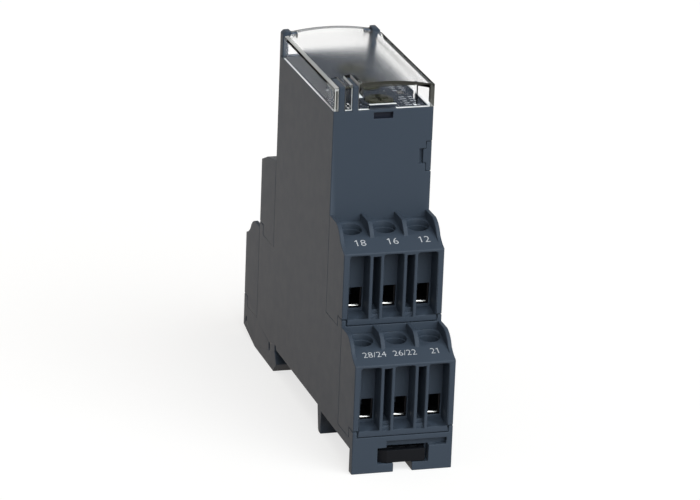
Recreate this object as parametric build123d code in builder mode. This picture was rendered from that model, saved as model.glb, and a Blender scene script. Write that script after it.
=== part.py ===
import os

from build123d import *

os.makedirs("parts", exist_ok=True)

# Envelope of the moulded body, seen along the rail: a wide base, a middle step and a narrow nose
body_width = 22.5
nose_half = 21.7
rim_height = 74.4
half_width = body_width / 2

# How deep each terminal tier is: from its face to the screws, and from the screws to the wall behind
screw_setback = 8.6
upper_wall_room = 3.4
lower_wall_room = 2.7
step_half = nose_half + upper_wall_room + screw_setback
base_half = step_half + lower_wall_room + screw_setback

# Walls of the moulded shell and of the plate that closes its right side
shell_wall = 1.3
left_wall = 1.2
side_plate = 1.1
seat_gap = 0.1
inner_left = -half_width + left_wall
inner_right = half_width - side_plate
nose_inner = nose_half - shell_wall
step_inner = step_half - shell_wall

# Terminal tiers: the lower pair stands on the base, the upper pair one step higher
tier_floor = 7.5
tier_rise = 21.4
tiers = {
    "lower": {"face": base_half, "back": step_half, "floor": tier_floor},
    "upper": {"face": step_half, "back": nose_half, "floor": tier_floor + tier_rise},
}
sides = {"front": -1, "rear": 1}
terminal_room = 7.3
pitch = (body_width - terminal_room) / 2
places = [-pitch, 0.0, pitch]

# Terminal block outline above its floor
edge_rise = 17.25
cheek_rise = 4.95
cheek_flat = 7.0
cheek_dome = (4.8, 3.9)
cheek_turn = (3.35, 2.0)
cheek_dish = (2.1, 1.0)
cheek_thickness = 0.9
fin_thickness = 1.0
fin_dome = (5.75, 4.1)
fin_setback = 4.4
label_run = 4.7
label_rise = 2.0
floor_slope = 0.2
seam_step = 0.85
corner_step = 2.27
corner_width = 0.95
seam_depth = 3.1
seam_gap = 0.12

# Wire entry recess, the wire hole behind it and the narrow slots between them
recess_width = 4.45
recess_depth = 4.5
recess_top = 0.6
recess_step = 0.5
recess_ramp = 0.45
recess_corner = 0.5
hole_width = 3.9
hole_top_drop = 9.2
hole_wall = 0.45
slot_width = 1.65
slot_depth = 5.0
slot_top = 0.95
slot_bottom_drop = 15.0
slot_step = 0.6
slot_step_rise = 0.85

# Rising clamp, its screw and the contact strip, all at one terminal
well_radius = 2.55
well_ledge = 1.9
well_bore_radius = 2.25
shelf_drop = 2.9
shelf_thickness = 1.0
head_radius = 2.15
head_height = 1.6
driver_slot = 0.8
driver_cross = 3.0
driver_depth = 0.9
shank_radius = 1.5
running_gap = 0.05
clamp_gap = 0.15
clamp_width = 4.2
clamp_length = 6.1
clamp_wall = 0.5
clamp_base = 0.8
clamp_head = 1.1
clamp_window = 4.8
clamp_travel = 3.0
clamp_headroom = 0.3
clamp_lip_width = 3.0
clamp_lip_reach = 0.25
clamp_lip_height = 0.45
strip_width = 2.4
strip_thickness = 0.8
leg_width = 1.8
leg_step = 2.3
contact_gap = 0.02

# Rail side of the base: seat, fixed hook, middle foot, end feet
rail_width = 35.0
rail_thickness = 1.0
rail_gap = 0.1
seat_height = 5.8
bay_roof = seat_height - 0.6
end_foot = 2.2
middle_foot = 3.1
middle_foot_lean = 1.1
foot_chamfer = 0.5
hook_notch = 0.8
hook_lip = 1.3
hook_lip_height = 2.5
hook_tip = 0.4
hook_lead = 2.4
far_foot_length = 16.2
far_foot_rise = 2.1

# Rail clip and its guides
clip_half = 5.2
clip_bar = 1.8
clip_handle_drop = 0.8
clip_hook_reach = 1.1
clip_hook_slope = 1.2
clip_hook_relief = 0.5
clip_handle_length = 2.5
clip_bevel = (1.8, 1.0)
clip_inset = 0.15
clip_clearance = 0.25
clip_pocket = (1.4, 1.1)
clip_pocket_inset = 0.9
clip_pocket_pitch = 2.6
clip_pocket_middle = 0.6
guide_thickness = 1.2
guide_lip = 0.9
guide_lip_thickness = 0.8
window_left = 5.5
window_right = 5.95
window_rise = 0.45
foot_notch_left = 1.85
foot_notch_right = 2.3
foot_notch_rib = 1.1
foot_notch_rib_length = 3.4
finger_slot_left = 3.5
finger_slot_inset = 1.35
finger_slot_skin = 0.35
finger_slot_depth = 1.4
spring_window_half = 3.0
spring_window_length = 12.0
spring_window_wall = 1.5
spring_bar = 0.8
spring_swing = 1.9
spring_ends = 3.2
spring_bend = 0.7
rail_slot_setback = 4.9
end_slot_setback = 2.3

# Snap tongues of the side plate, and the catch slot under the clear cover
tongue_drop = 14.55
tongue_height = 6.85
tongue_width = 1.3
tongue_inset = 0.2
tongue_hook = 0.6
catch_width = 1.45
catch_rise = 1.8
catch_height = 3.4
catch_depth = 0.9
latch_slot_half = 2.1
latch_slot_drop = 2.0
latch_slot_height = 1.3

# Hinge posts and pins at the far end of the nose
post_width = 1.9
post_length = 2.45
post_height = 5.9
post_round = 0.6
pin_radius = 0.6
pin_length = 1.7
pin_setback = 1.25
pin_height = 4.6

# Clear cover
cover_wall = 1.0
cover_rise = 5.1
cover_crown = 1.25
cover_back_gap = 0.9
cover_lift = 0.1
cover_overhang = 0.35
hinge_eye_radius = 1.1
hinge_eye_width = 1.45
notch_left = 3.2
notch_right = 2.9
notch_height = 1.0
front_rib_inset = 3.5
front_rib_width = 0.6
front_rib_length = 1.2
front_rib_lift = 0.2

# Two lugs of the housing that stand up through slots in the cover, with a sealing eye between them
lug_insets = [(1.15, 2.45), (4.2, 5.45)]
lug_length = 6.4
lug_height = 5.5
lug_gap = 0.12
lug_back_gap = 0.6
seal_hole_radius = 0.45
seal_hole_height = 0.95
collar_rise = 2.6
collar_side_wall = 1.2
collar_back_wall = 0.8

# Front panel and the dials that turn in it
panel_thickness = 1.0
panel_drop = 0.2
panel_ledge = 1.0
dial_x = 0.8
dial_setback = 6.5
dial_pitch = 10.6
dial_radius = 3.05
dial_gap = 0.2
dial_rise = 0.7
dial_depth = 1.8
dial_shaft_radius = 1.25
dial_slot = 0.9
dial_slot_length = 4.0
dial_pointer_extra = 0.9
dial_slot_depth = 0.8
ring_radius = 4.3
ring_height = 0.3
window_inset = 3.95
window_width = 1.5
window_length = 2.4
window_offset = 5.7
window_pitch = 6.0
guide_bar = 1.0

# Boards and what is soldered to them
board_thickness = 1.6
solder_gap = 1.05
board_clearance = 1.0
board_floor = 9.0
boss_radius = 1.5
switch_size = 9.0
switch_height = 4.2
switch_gap = 0.1
dial_standoff = 2.0
led_width = 1.2
led_length = 1.6
led_height = 0.8
led_gap = 0.3
relay_length = 28.6
relay_width = 10.2
relay_height = 12.3
relay_drop = 2.8
relay_gap = 0.8
relay_bevel = 0.4
film_length = 18.0
film_width = 8.5
film_height = 12.0
film_edge = 0.8
can_radius = 5.0
can_room = 1.55
can_edge = 0.6
disc_radius = 4.5
disc_thickness = 4.0
choke_radius = 4.0
choke_core_radius = 2.8
choke_height = 9.0
choke_flange = 2.25
chip_size = 6.5
chip_height = 1.4
header_width = 2.4
header_length = 15.0
header_height = 1.9

board_back = inner_left + solder_gap
board_face = board_back + board_thickness
board_edge = {"lower": step_inner - board_clearance, "upper": nose_inner - board_clearance}
panel_top = rim_height - panel_drop
panel_floor = panel_top - panel_thickness
front_board_top = panel_top - dial_depth - dial_standoff - switch_height
front_board_height = front_board_top - board_thickness
relay_base = front_board_height - relay_drop - 2 * relay_width - relay_gap
can_height = inner_right - board_face - can_room
tongue_floor = rim_height - tongue_drop
catch_floor = tongue_floor + catch_rise
latch_slot_floor = rim_height - latch_slot_drop
collar_floor = rim_height + collar_rise
dial_front = -nose_half + dial_setback
window_x = half_width - window_inset
window_front = dial_front + window_offset
lug_spans = [(-half_width + start, -half_width + end) for start, end in lug_insets]
dial_spots = [("time", dial_front), ("range", dial_front + dial_pitch), ("mode", dial_front + 2 * dial_pitch)]
window_spots = [window_front + k * window_pitch for k in range(3)]
pin_y = nose_half - pin_setback
pin_z = rim_height + pin_height
cover_floor = rim_height + cover_lift
cover_side_top = rim_height + cover_rise
post_inner = half_width - post_width
lug_back = -nose_half + lug_length
slot_back = lug_back + lug_back_gap
slot_right = lug_spans[-1][1] + lug_gap
foot_face = base_half - end_foot
rail_half = rail_width / 2 + rail_gap
witness_slots = [(rail_half + rail_slot_setback, 4.7, 2.0, 0.9),
                 (base_half - end_slot_setback, 4.15, 1.2, 0.6)]
middle_front = rail_half + middle_foot
hook_front = rail_half - hook_lip
lead_end = hook_front + hook_lead
clip_top = bay_roof
clip_bar_top = seat_height - rail_thickness - rail_gap
clip_bar_floor = clip_bar_top - clip_bar
clip_floor = clip_bar_floor - clip_handle_drop
guide_floor = clip_bar_floor - clip_clearance - guide_lip_thickness
hook_end = -rail_width / 2 + clip_hook_reach
window_top = bay_roof + window_rise
finger_slot_top = tier_floor - finger_slot_skin

# Depths below a block's front edge: the clamp hangs under the shelf by its travel
clamp_drop = shelf_drop + shelf_thickness + clamp_headroom + clamp_travel + clamp_head
clamp_drop += clamp_window + clamp_base
hole_bottom_drop = clamp_drop + running_gap
recess_back_drop = hole_bottom_drop + recess_step
recess_front_drop = recess_back_drop + recess_ramp


def span_box(x_span, y_span, z_span, mode=Mode.ADD):
    """A box given by its limits along each axis, added to the part in hand or cut from it."""
    spans = (x_span, y_span, z_span)
    with Locations(tuple((low + high) / 2 for low, high in spans)):
        Box(*[abs(high - low) for low, high in spans], mode=mode)


def outline(points, x_start):
    """A closed outline in Y and Z, standing at x_start."""
    with BuildSketch(Plane.YZ.offset(x_start)) as shape:
        with BuildLine():
            Polyline(*points, close=True)
        make_face()
    return shape.sketch


def keep(part, name):
    """Label a finished piece and write it."""
    part.label = name
    export_step(part, f"parts/{name}.step")


# Moulded body: left wall, nose, base, feet, hinge posts and sealing lug in one piece
near_half = [
    (-base_half, 0.0),
    (-foot_face, 0.0),
    (-foot_face, bay_roof),
    (-middle_front, bay_roof),
    (-middle_front, 0.0),
    (-rail_half - middle_foot_lean - foot_chamfer, 0.0),
    (-rail_half - middle_foot_lean, foot_chamfer),
    (-rail_half, seat_height),
]
far_half = [
    (rail_half - hook_notch, seat_height),
    (rail_half - hook_notch / 2, seat_height + hook_notch),
    (rail_half + hook_notch / 2, seat_height + hook_notch),
    (rail_half + hook_notch / 2, seat_height - hook_notch),
    (rail_half, seat_height - rail_thickness),
    (hook_front, hook_lip_height),
    (hook_front + hook_tip, hook_lip_height - hook_tip),
    (lead_end, 0.0),
    (lead_end + far_foot_length, 0.0),
    (base_half, far_foot_rise),
]
base_top = tiers["lower"]["floor"]
step_top = tiers["upper"]["floor"]
upper_outline = [
    (base_half, base_top + seam_step),
    (base_half - seam_depth, base_top + seam_step),
    (base_half - seam_depth, base_top),
    (step_half, base_top),
    (step_half, step_top + seam_step),
    (step_half - seam_depth, step_top + seam_step),
    (step_half - seam_depth, step_top),
    (nose_half, step_top),
    (nose_half, rim_height),
]
body_outline = near_half + far_half + upper_outline + [(-y, z) for y, z in reversed(upper_outline)]
with BuildPart() as housing:
    extrude(outline(body_outline, -half_width), amount=body_width)
    # Hollow of the nose and of the base, open to the right
    span_box((inner_left, half_width), (-nose_inner, nose_inner), (seat_height + shell_wall, rim_height),
             Mode.SUBTRACT)
    span_box((inner_left, half_width), (-step_inner, step_inner),
             (seat_height + shell_wall, step_top - shell_wall), Mode.SUBTRACT)
    span_box((inner_left, inner_right), (lead_end + shell_wall, step_inner),
             (shell_wall, seat_height + shell_wall), Mode.SUBTRACT)
    # Corner posts that hold the terminal blocks, and the slots for their contact strips
    for side in sides.values():
        for tier in tiers.values():
            ends = (side * (tier["face"] - seam_depth), side * tier["face"])
            for x_sign in (-1, 1):
                span_box((x_sign * (half_width - corner_width), x_sign * half_width), ends,
                         (tier["floor"], tier["floor"] + corner_step))
            strip_floor = tier["floor"] + edge_rise - hole_top_drop
            for place in places:
                span_box((place - strip_width / 2 - clamp_gap, place + strip_width / 2 + clamp_gap),
                         (side * (tier["back"] - shell_wall - clamp_gap), side * (tier["back"] + clamp_gap)),
                         (strip_floor - clamp_gap, strip_floor + strip_thickness + clamp_gap), Mode.SUBTRACT)
    # Ledges for the front panel and for the front board, and bosses for the main board
    for side in sides.values():
        ledge = (side * (nose_inner - panel_ledge), side * nose_inner)
        span_box((inner_left, inner_right - seat_gap), ledge, (panel_floor - panel_ledge, panel_floor))
        span_box((inner_left, inner_right - seat_gap), ledge,
                 (front_board_height - panel_ledge, front_board_height))
        for boss_y, boss_z in ((board_edge["upper"] - boss_radius, front_board_height - 2 * boss_radius),
                               (board_edge["lower"] - boss_radius, board_floor + boss_radius)):
            with BuildSketch(Plane.YZ.offset(inner_left)):
                with Locations((side * boss_y, boss_z)):
                    Circle(boss_radius)
            extrude(amount=solder_gap)
    # Rim cut and catch window for each snap tongue of the side plate
    for side in sides.values():
        span_box((half_width - tongue_width, half_width), (side * nose_inner, side * nose_half),
                 (tongue_floor, tongue_floor + tongue_height), Mode.SUBTRACT)
        span_box((half_width - tongue_width - catch_width, half_width - tongue_width),
                 (side * (nose_half - catch_depth), side * nose_half),
                 (catch_floor, catch_floor + catch_height), Mode.SUBTRACT)
    span_box((-latch_slot_half, latch_slot_half), (-nose_half, -nose_half + catch_depth),
             (latch_slot_floor, latch_slot_floor + latch_slot_height), Mode.SUBTRACT)
    # Hinge posts with their pins: each stands on the end wall and leans over the plate and the panel
    for x_sign in (-1, 1):
        span_box((x_sign * post_inner, x_sign * half_width), (nose_inner, nose_half),
                 (rim_height, cover_floor))
        with BuildSketch(Plane.XZ.offset(-nose_half)):
            with BuildLine():
                Polyline((x_sign * half_width, cover_floor),
                         (x_sign * half_width, rim_height + post_height - post_round),
                         (x_sign * (half_width - post_round), rim_height + post_height),
                         (x_sign * post_inner, rim_height + post_height),
                         (x_sign * post_inner, cover_floor), close=True)
            make_face()
        extrude(amount=post_length)
        with BuildSketch(Plane.YZ.offset(x_sign * post_inner)):
            with Locations((pin_y, pin_z)):
                Circle(pin_radius)
        extrude(amount=-x_sign * pin_length)
    # Lugs on a corner boss level with the front panel
    span_box((inner_left, lug_spans[-1][1]), (-nose_inner, lug_back), (panel_floor, panel_top))
    for lug_span in lug_spans:
        span_box(lug_span, (-nose_half, lug_back), (panel_floor, rim_height + lug_height))
    # Middle foot opened for the rail clip, a relief over its hook, and the clip's window in the end foot
    clip_way = (-clip_half - clip_clearance, clip_half + clip_clearance)
    span_box(clip_way, (-middle_front, -rail_half + seat_gap), (0.0, bay_roof), Mode.SUBTRACT)
    span_box(clip_way, (-rail_half, hook_end + clip_clearance), (seat_height, seat_height + clip_hook_relief),
             Mode.SUBTRACT)
    span_box((-window_left, window_right), (-base_half, -foot_face), (clip_floor - seat_gap, window_top),
             Mode.SUBTRACT)
    span_box((-finger_slot_left, half_width - finger_slot_inset), (-base_half, -base_half + finger_slot_depth),
             (window_top, finger_slot_top), Mode.SUBTRACT)
    span_box((-foot_notch_left, foot_notch_right), (-base_half, -foot_face), (0.0, clip_floor - seat_gap),
             Mode.SUBTRACT)
    for inner, outer in ((-foot_notch_left, -foot_notch_left - foot_notch_rib),
                         (foot_notch_right, foot_notch_right + foot_notch_rib)):
        span_box((inner, outer), (-foot_face, -foot_face + foot_notch_rib_length),
                 (0.0, guide_floor - seat_gap))
    # Guides that carry the rail clip under the base
    for x_sign in (-1, 1):
        guide = x_sign * (clip_half + clip_clearance)
        span_box((guide, guide + x_sign * guide_thickness), (-foot_face, -middle_front),
                 (guide_floor, bay_roof))
        span_box((guide - x_sign * guide_lip, guide),
                 (-foot_face + foot_notch_rib_length, -middle_front),
                 (guide_floor, guide_floor + guide_lip_thickness))
    # Small witness slots in the left face near the far foot
    with BuildSketch(Plane.YZ.offset(-half_width)):
        for slot_y, slot_z, slot_length, slot_breadth in witness_slots:
            with Locations((slot_y, slot_z)):
                SlotOverall(slot_length, slot_breadth, rotation=90)
    extrude(amount=left_wall / 2, mode=Mode.SUBTRACT)
keep(housing.part, "housing")

# Plate that closes the right side, with a snap tongue over each end of the nose
plate_nose = nose_inner - seat_gap
plate_step = step_inner - seat_gap
plate_floor = seat_height + shell_wall + seat_gap
plate_shoulder = step_top - shell_wall - seat_gap
plate_outline = [
    (plate_step, plate_floor),
    (plate_step, plate_shoulder),
    (plate_nose, plate_shoulder),
    (plate_nose, rim_height),
]
with BuildPart() as side_cover:
    extrude(outline(plate_outline + [(-y, z) for y, z in reversed(plate_outline)], inner_right),
            amount=side_plate)
    for side in sides.values():
        tongue = (side * plate_nose, side * (nose_half - tongue_inset))
        span_box((half_width - tongue_width + seat_gap, half_width), tongue,
                 (tongue_floor + seat_gap, tongue_floor + tongue_height - seat_gap))
        hook_y = side * (nose_half - catch_depth + seat_gap)
        span_box((half_width - tongue_width - tongue_hook, half_width - tongue_width + seat_gap),
                 (hook_y, side * (nose_half - tongue_inset)),
                 (catch_floor + seat_gap, catch_floor + catch_height - seat_gap))
keep(side_cover.part, "side_cover")


def fin_line(side, tier):
    """Outline in Y and Z of a fin between two wells, which ends above the printed slope."""
    edge = tier["floor"] + edge_rise
    back, crest, dome, tip = [(side * (tier["face"] - setback), edge + rise) for setback, rise in (
        (tier["face"] - tier["back"], cheek_rise), (cheek_flat, cheek_rise), fin_dome,
        (fin_setback, label_rise * fin_setback / label_run))]
    with BuildSketch(Plane.YZ) as shape:
        with BuildLine():
            Line(back, crest)
            ThreePointArc(crest, dome, tip)
            Polyline(tip, (tip[0], edge), (back[0], edge), back)
        make_face()
    return shape.sketch


def cheek_line(side, tier, raised):
    """Outline of a terminal block in Y and Z: its cheeks, or with raised False its dished floor."""
    face, back = tier["face"], tier["back"]
    edge = tier["floor"] + edge_rise

    def at(setback, height):
        return (side * (face - setback), height)

    depth = face - back
    floor_end = label_rise + floor_slope * (depth - label_run)
    with BuildSketch(Plane.YZ) as shape:
        with BuildLine():
            if raised:
                crest, dome, turn, dish = [
                    at(setback, edge + rise)
                    for setback, rise in ((cheek_flat, cheek_rise), cheek_dome, cheek_turn, cheek_dish)
                ]
                Line(at(depth, edge + cheek_rise), crest)
                ThreePointArc(crest, dome, turn)
                ThreePointArc(turn, dish, at(0.0, edge))
            else:
                Polyline(at(depth, edge + floor_end), at(label_run, edge + label_rise), at(0.0, edge))
            Polyline(at(0.0, edge), at(0.0, tier["floor"] + seam_step + seam_gap),
                     at(seam_depth, tier["floor"] + seam_step + seam_gap),
                     at(seam_depth, tier["floor"]), at(depth, tier["floor"]))
            top = cheek_rise if raised else floor_end
            Line(at(depth, tier["floor"]), at(depth, edge + top))
        make_face()
    return shape.sketch


def terminal_block(side, tier, left_cheek):
    """One moulded block for three terminals, with cheeks and fins round its screw wells."""
    face, back = tier["face"], tier["back"]
    edge = tier["floor"] + edge_rise
    screw_y = side * (face - screw_setback)
    cheek_starts = [half_width - cheek_thickness]
    if left_cheek:
        cheek_starts.append(-half_width)
    with BuildPart() as block:
        extrude(cheek_line(side, tier, False), amount=half_width, both=True)
        for start in cheek_starts:
            extrude(cheek_line(side, tier, True).moved(Location((start, 0, 0))), amount=cheek_thickness)
        for middle in (-pitch / 2, pitch / 2):
            extrude(fin_line(side, tier).moved(Location((middle - fin_thickness / 2, 0, 0))),
                    amount=fin_thickness)
        for x_sign in (-1, 1):
            span_box((x_sign * (half_width - corner_width - seam_gap), x_sign * half_width),
                     (side * (face - seam_depth - seam_gap), side * face),
                     (tier["floor"], tier["floor"] + corner_step + seam_gap), Mode.SUBTRACT)
        # Wire entries with a ramped sill, and the hole through to the clamp
        for place in places:
            sill = [(side * face, edge - recess_front_drop), (side * face, edge - recess_top),
                    (side * (face - recess_depth), edge - recess_top),
                    (side * (face - recess_depth), edge - recess_back_drop)]
            extrude(outline(sill, place - recess_width / 2), amount=recess_width, mode=Mode.SUBTRACT)
            span_box((place - hole_width / 2, place + hole_width / 2),
                     (side * (face - recess_depth), side * (face - recess_depth - hole_wall)),
                     (edge - hole_bottom_drop, edge - hole_top_drop), Mode.SUBTRACT)
            # Clamp cavity, open at the back of the block
            half_cavity = clamp_width / 2 + clamp_gap
            span_box((place - half_cavity, place + half_cavity),
                     (side * (face - recess_depth - hole_wall), side * back),
                     (edge - clamp_drop - clamp_gap, edge - shelf_drop - shelf_thickness), Mode.SUBTRACT)
            # Screw well with a narrower bore below its ledge, and the hole in its shelf
            with BuildSketch(Plane.XY.offset(edge + cheek_rise)):
                with Locations((place, screw_y)):
                    Circle(well_radius)
            extrude(amount=well_ledge - cheek_rise, mode=Mode.SUBTRACT)
            with BuildSketch(Plane.XY.offset(edge + well_ledge)):
                with Locations((place, screw_y)):
                    Circle(well_bore_radius)
            extrude(amount=-well_ledge - shelf_drop, mode=Mode.SUBTRACT)
            with BuildSketch(Plane.XY.offset(edge - shelf_drop)):
                with Locations((place, screw_y)):
                    Circle(shank_radius + clamp_gap)
            extrude(amount=-shelf_thickness, mode=Mode.SUBTRACT)
        fillet(block.edges().filter_by(Axis.Y).filter_by_position(
            Axis.Z, edge - recess_top - 0.01, edge - recess_top + 0.01), radius=recess_corner)
        # Narrow slots between the entries, stepped at the foot
        for place in (-pitch / 2, pitch / 2):
            slot = (place - slot_width / 2, place + slot_width / 2)
            span_box(slot, (side * (face - slot_depth), side * face),
                     (edge - slot_bottom_drop, edge - slot_top), Mode.SUBTRACT)
            for k in (1, 2):
                span_box(slot, (side * (face - slot_depth), side * (face - k * slot_step)),
                         (edge - slot_bottom_drop, edge - slot_bottom_drop + k * slot_step_rise))
    return block.part


def terminal_screw(side, tier, place):
    """Clamp screw with a crossed head; its plain shank stands for the thread."""
    edge = tier["floor"] + edge_rise
    centre = (place, side * (tier["face"] - screw_setback))
    head_top = edge - shelf_drop + contact_gap + head_height
    tip = edge - hole_top_drop + strip_thickness + contact_gap
    with BuildPart() as screw:
        with BuildSketch(Plane.XY.offset(head_top)):
            with Locations(centre):
                Circle(head_radius)
        extrude(amount=-head_height)
        with BuildSketch(Plane.XY.offset(head_top - head_height)):
            with Locations(centre):
                Circle(shank_radius)
        extrude(amount=tip - head_top + head_height)
        with BuildSketch(Plane.XY.offset(head_top)):
            with Locations(centre):
                Rectangle(2 * head_radius, driver_slot)
                Rectangle(driver_slot, driver_cross)
        extrude(amount=-driver_depth, mode=Mode.SUBTRACT)
    return screw.part


def terminal_clamp(side, tier, place):
    """Pressed steel cage that the screw lifts, so that its floor grips the wire under the strip."""
    edge = tier["floor"] + edge_rise
    front = tier["face"] - recess_depth - hole_wall - running_gap
    cage_floor = edge - clamp_drop
    cage_top = cage_floor + clamp_base + clamp_window + clamp_head
    with BuildPart() as cage:
        span_box((place - clamp_width / 2, place + clamp_width / 2),
                 (side * (front - clamp_length), side * front), (cage_floor, cage_top))
        span_box((place - clamp_width / 2 + clamp_wall, place + clamp_width / 2 - clamp_wall),
                 (side * (front - clamp_length), side * front),
                 (cage_floor + clamp_base, cage_floor + clamp_base + clamp_window), Mode.SUBTRACT)
        with BuildSketch(Plane.XY.offset(cage_top)):
            with Locations((place, side * (tier["face"] - screw_setback))):
                Circle(shank_radius + running_gap)
        extrude(amount=-clamp_head, mode=Mode.SUBTRACT)
        # Bent lip at the mouth, which leads the wire in
        lip = [(side * front, cage_floor + clamp_base), (side * front, cage_floor + clamp_base - clamp_lip_height),
               (side * (front + clamp_lip_reach), cage_floor + clamp_base - clamp_lip_height)]
        extrude(outline(lip, place - clamp_lip_width / 2), amount=clamp_lip_width)
    return cage.part


def contact_strips(side, tier, edge_y):
    """Three flat contact strips of one block, each with a leg that reaches the main board."""
    floor = tier["floor"] + edge_rise - hole_top_drop
    height = (floor, floor + strip_thickness)
    start = tier["face"] - recess_depth - hole_wall - clamp_wall
    with BuildPart() as strips:
        for k, place in enumerate(places):
            end = edge_y + contact_gap - k * leg_step - (leg_width if k else 0.0)
            span_box((place - strip_width / 2, place + strip_width / 2), (side * end, side * start), height)
            if k:
                span_box((board_face + contact_gap, place), (side * end, side * (end + leg_width)), height)
    return strips.part


# Blocks, screws, clamps and strips of both ends and both tiers
for side_name, side in sides.items():
    for tier_name, tier in tiers.items():
        spot = f"{side_name}_{tier_name}"
        left_cheek = spot != "rear_upper"
        keep(terminal_block(side, tier, left_cheek), f"terminal_block_{spot}")
        keep(contact_strips(side, tier, board_edge[tier_name]), f"contact_strips_{spot}")
        for number, place in enumerate(places, start=1):
            keep(terminal_screw(side, tier, place), f"screw_{spot}_{number}")
            keep(terminal_clamp(side, tier, place), f"clamp_{spot}_{number}")

# Clear hinged cover: crowned top, three walls, hinge eyes and a collar round the sealing lug
cover_end = nose_half - post_length - cover_back_gap


def crown(inset, y_start):
    """Cross-section of the cover in X and Z, drawn inset from its outer skin."""
    side_x = half_width - inset
    with BuildSketch(Plane.XZ.offset(-y_start)) as shape:
        with BuildLine():
            Polyline((-side_x, cover_side_top - inset), (-side_x, cover_floor), (side_x, cover_floor),
                     (side_x, cover_side_top - inset))
            ThreePointArc((side_x, cover_side_top - inset), (0, cover_side_top + cover_crown - inset),
                          (-side_x, cover_side_top - inset))
        make_face()
    return shape.sketch


with BuildPart() as clear_cover:
    extrude(crown(0.0, pin_y + cover_overhang), amount=pin_y + cover_overhang + nose_half)
    extrude(crown(cover_wall, pin_y + cover_overhang),
            amount=pin_y + cover_overhang + nose_half - cover_wall, mode=Mode.SUBTRACT)
    # Clear of the hinge posts at the far corners
    for x_sign in (-1, 1):
        span_box((x_sign * (post_inner - clamp_gap), x_sign * half_width),
                 (cover_end, pin_y + cover_overhang), (cover_floor, cover_side_top + cover_crown),
                 Mode.SUBTRACT)
    # Eyes that turn on the hinge pins
    for x_sign in (-1, 1):
        eye = x_sign * (post_inner - clamp_gap)
        with BuildSketch(Plane.YZ.offset(eye)):
            with Locations((pin_y, pin_z)):
                Circle(hinge_eye_radius)
        extrude(amount=-x_sign * hinge_eye_width)
        with BuildSketch(Plane.YZ.offset(eye)):
            with Locations((pin_y, pin_z)):
                Circle(pin_radius + running_gap)
        extrude(amount=-x_sign * (pin_length + running_gap), mode=Mode.SUBTRACT)
    # Lifting notch in the front wall
    span_box((-notch_left, notch_right), (-nose_half, -nose_half + cover_wall),
             (cover_floor, cover_floor + notch_height), Mode.SUBTRACT)
    # Rib inside the front wall
    front_rib = half_width - front_rib_inset
    span_box((front_rib - front_rib_width, front_rib),
             (-nose_half + cover_wall, -nose_half + cover_wall + front_rib_length),
             (cover_floor + front_rib_lift, cover_side_top))
    # Collar round the two slots for the housing's lugs
    span_box((slot_right, slot_right + collar_side_wall), (-nose_half + cover_wall, slot_back),
             (collar_floor, cover_side_top))
    span_box((-half_width + cover_wall, slot_right + collar_side_wall),
             (slot_back, slot_back + collar_back_wall), (collar_floor, cover_side_top))
    for lug_left, lug_right in lug_spans:
        span_box((lug_left - lug_gap, lug_right + lug_gap), (-nose_half, slot_back),
                 (cover_floor, cover_side_top + cover_crown), Mode.SUBTRACT)
    # Sealing eye in the strip that is left between the slots
    seal_x = (lug_spans[0][1] + lug_spans[1][0]) / 2
    with BuildSketch(Plane.XZ.offset(nose_half)):
        with Locations((seal_x, cover_floor + seal_hole_height)):
            Circle(seal_hole_radius)
    extrude(amount=-cover_wall, mode=Mode.SUBTRACT)
keep(clear_cover.part, "clear_cover")

# Front panel under the cover, with a raised ring round each dial
with BuildPart() as front_panel:
    span_box((inner_left + seat_gap, inner_right - seat_gap), (-nose_inner + seat_gap, nose_inner - seat_gap),
             (panel_floor, panel_top))
    with BuildSketch(Plane.XY.offset(panel_top)):
        with Locations(*[(dial_x, y) for name, y in dial_spots]):
            Circle(ring_radius)
    extrude(amount=ring_height)
    with BuildSketch(Plane.XY.offset(panel_top + ring_height)):
        with Locations(*[(dial_x, y) for name, y in dial_spots]):
            Circle(dial_radius + dial_gap)
    extrude(amount=-ring_height - panel_thickness, mode=Mode.SUBTRACT)
    with BuildSketch(Plane.XY.offset(panel_top)):
        with Locations(*[(window_x, y) for y in window_spots]):
            Rectangle(window_width, window_length)
    extrude(amount=-panel_thickness, mode=Mode.SUBTRACT)
    span_box((inner_left, lug_spans[-1][1] + seat_gap), (-nose_inner, lug_back + seat_gap),
             (panel_floor, panel_top), Mode.SUBTRACT)
keep(front_panel.part, "front_panel")

# Dials with a crossed driver slot, one arm of it longer as the pointer
switch_top = front_board_top + switch_height
for name, dial_y in dial_spots:
    dial_top = panel_top + dial_rise
    with BuildPart() as dial:
        with BuildSketch(Plane.XY.offset(dial_top)):
            with Locations((dial_x, dial_y)):
                Circle(dial_radius)
        extrude(amount=-dial_rise - dial_depth)
        with BuildSketch(Plane.XY.offset(dial_top - dial_rise - dial_depth)):
            with Locations((dial_x, dial_y)):
                Circle(dial_shaft_radius)
        extrude(amount=front_board_top + switch_gap - dial_top + dial_rise + dial_depth)
        with BuildSketch(Plane.XY.offset(dial_top)):
            with Locations((dial_x, dial_y)):
                Rectangle(dial_slot_length, dial_slot)
            with Locations((dial_x, dial_y + dial_pointer_extra / 2)):
                Rectangle(dial_slot, dial_slot_length + dial_pointer_extra)
        extrude(amount=-dial_slot_depth, mode=Mode.SUBTRACT)
    keep(dial.part, f"{name}_dial")
    # Rotary switch or potentiometer that the dial's shaft turns in
    with BuildPart() as switch:
        span_box((dial_x - switch_size / 2, dial_x + switch_size / 2),
                 (dial_y - switch_size / 2, dial_y + switch_size / 2), (front_board_top, switch_top))
        with BuildSketch(Plane.XY.offset(switch_top)):
            with Locations((dial_x, dial_y)):
                Circle(dial_shaft_radius + running_gap)
        extrude(amount=-switch_height, mode=Mode.SUBTRACT)
    keep(switch.part, f"{name}_{'potentiometer' if name == 'time' else 'switch'}")

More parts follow.
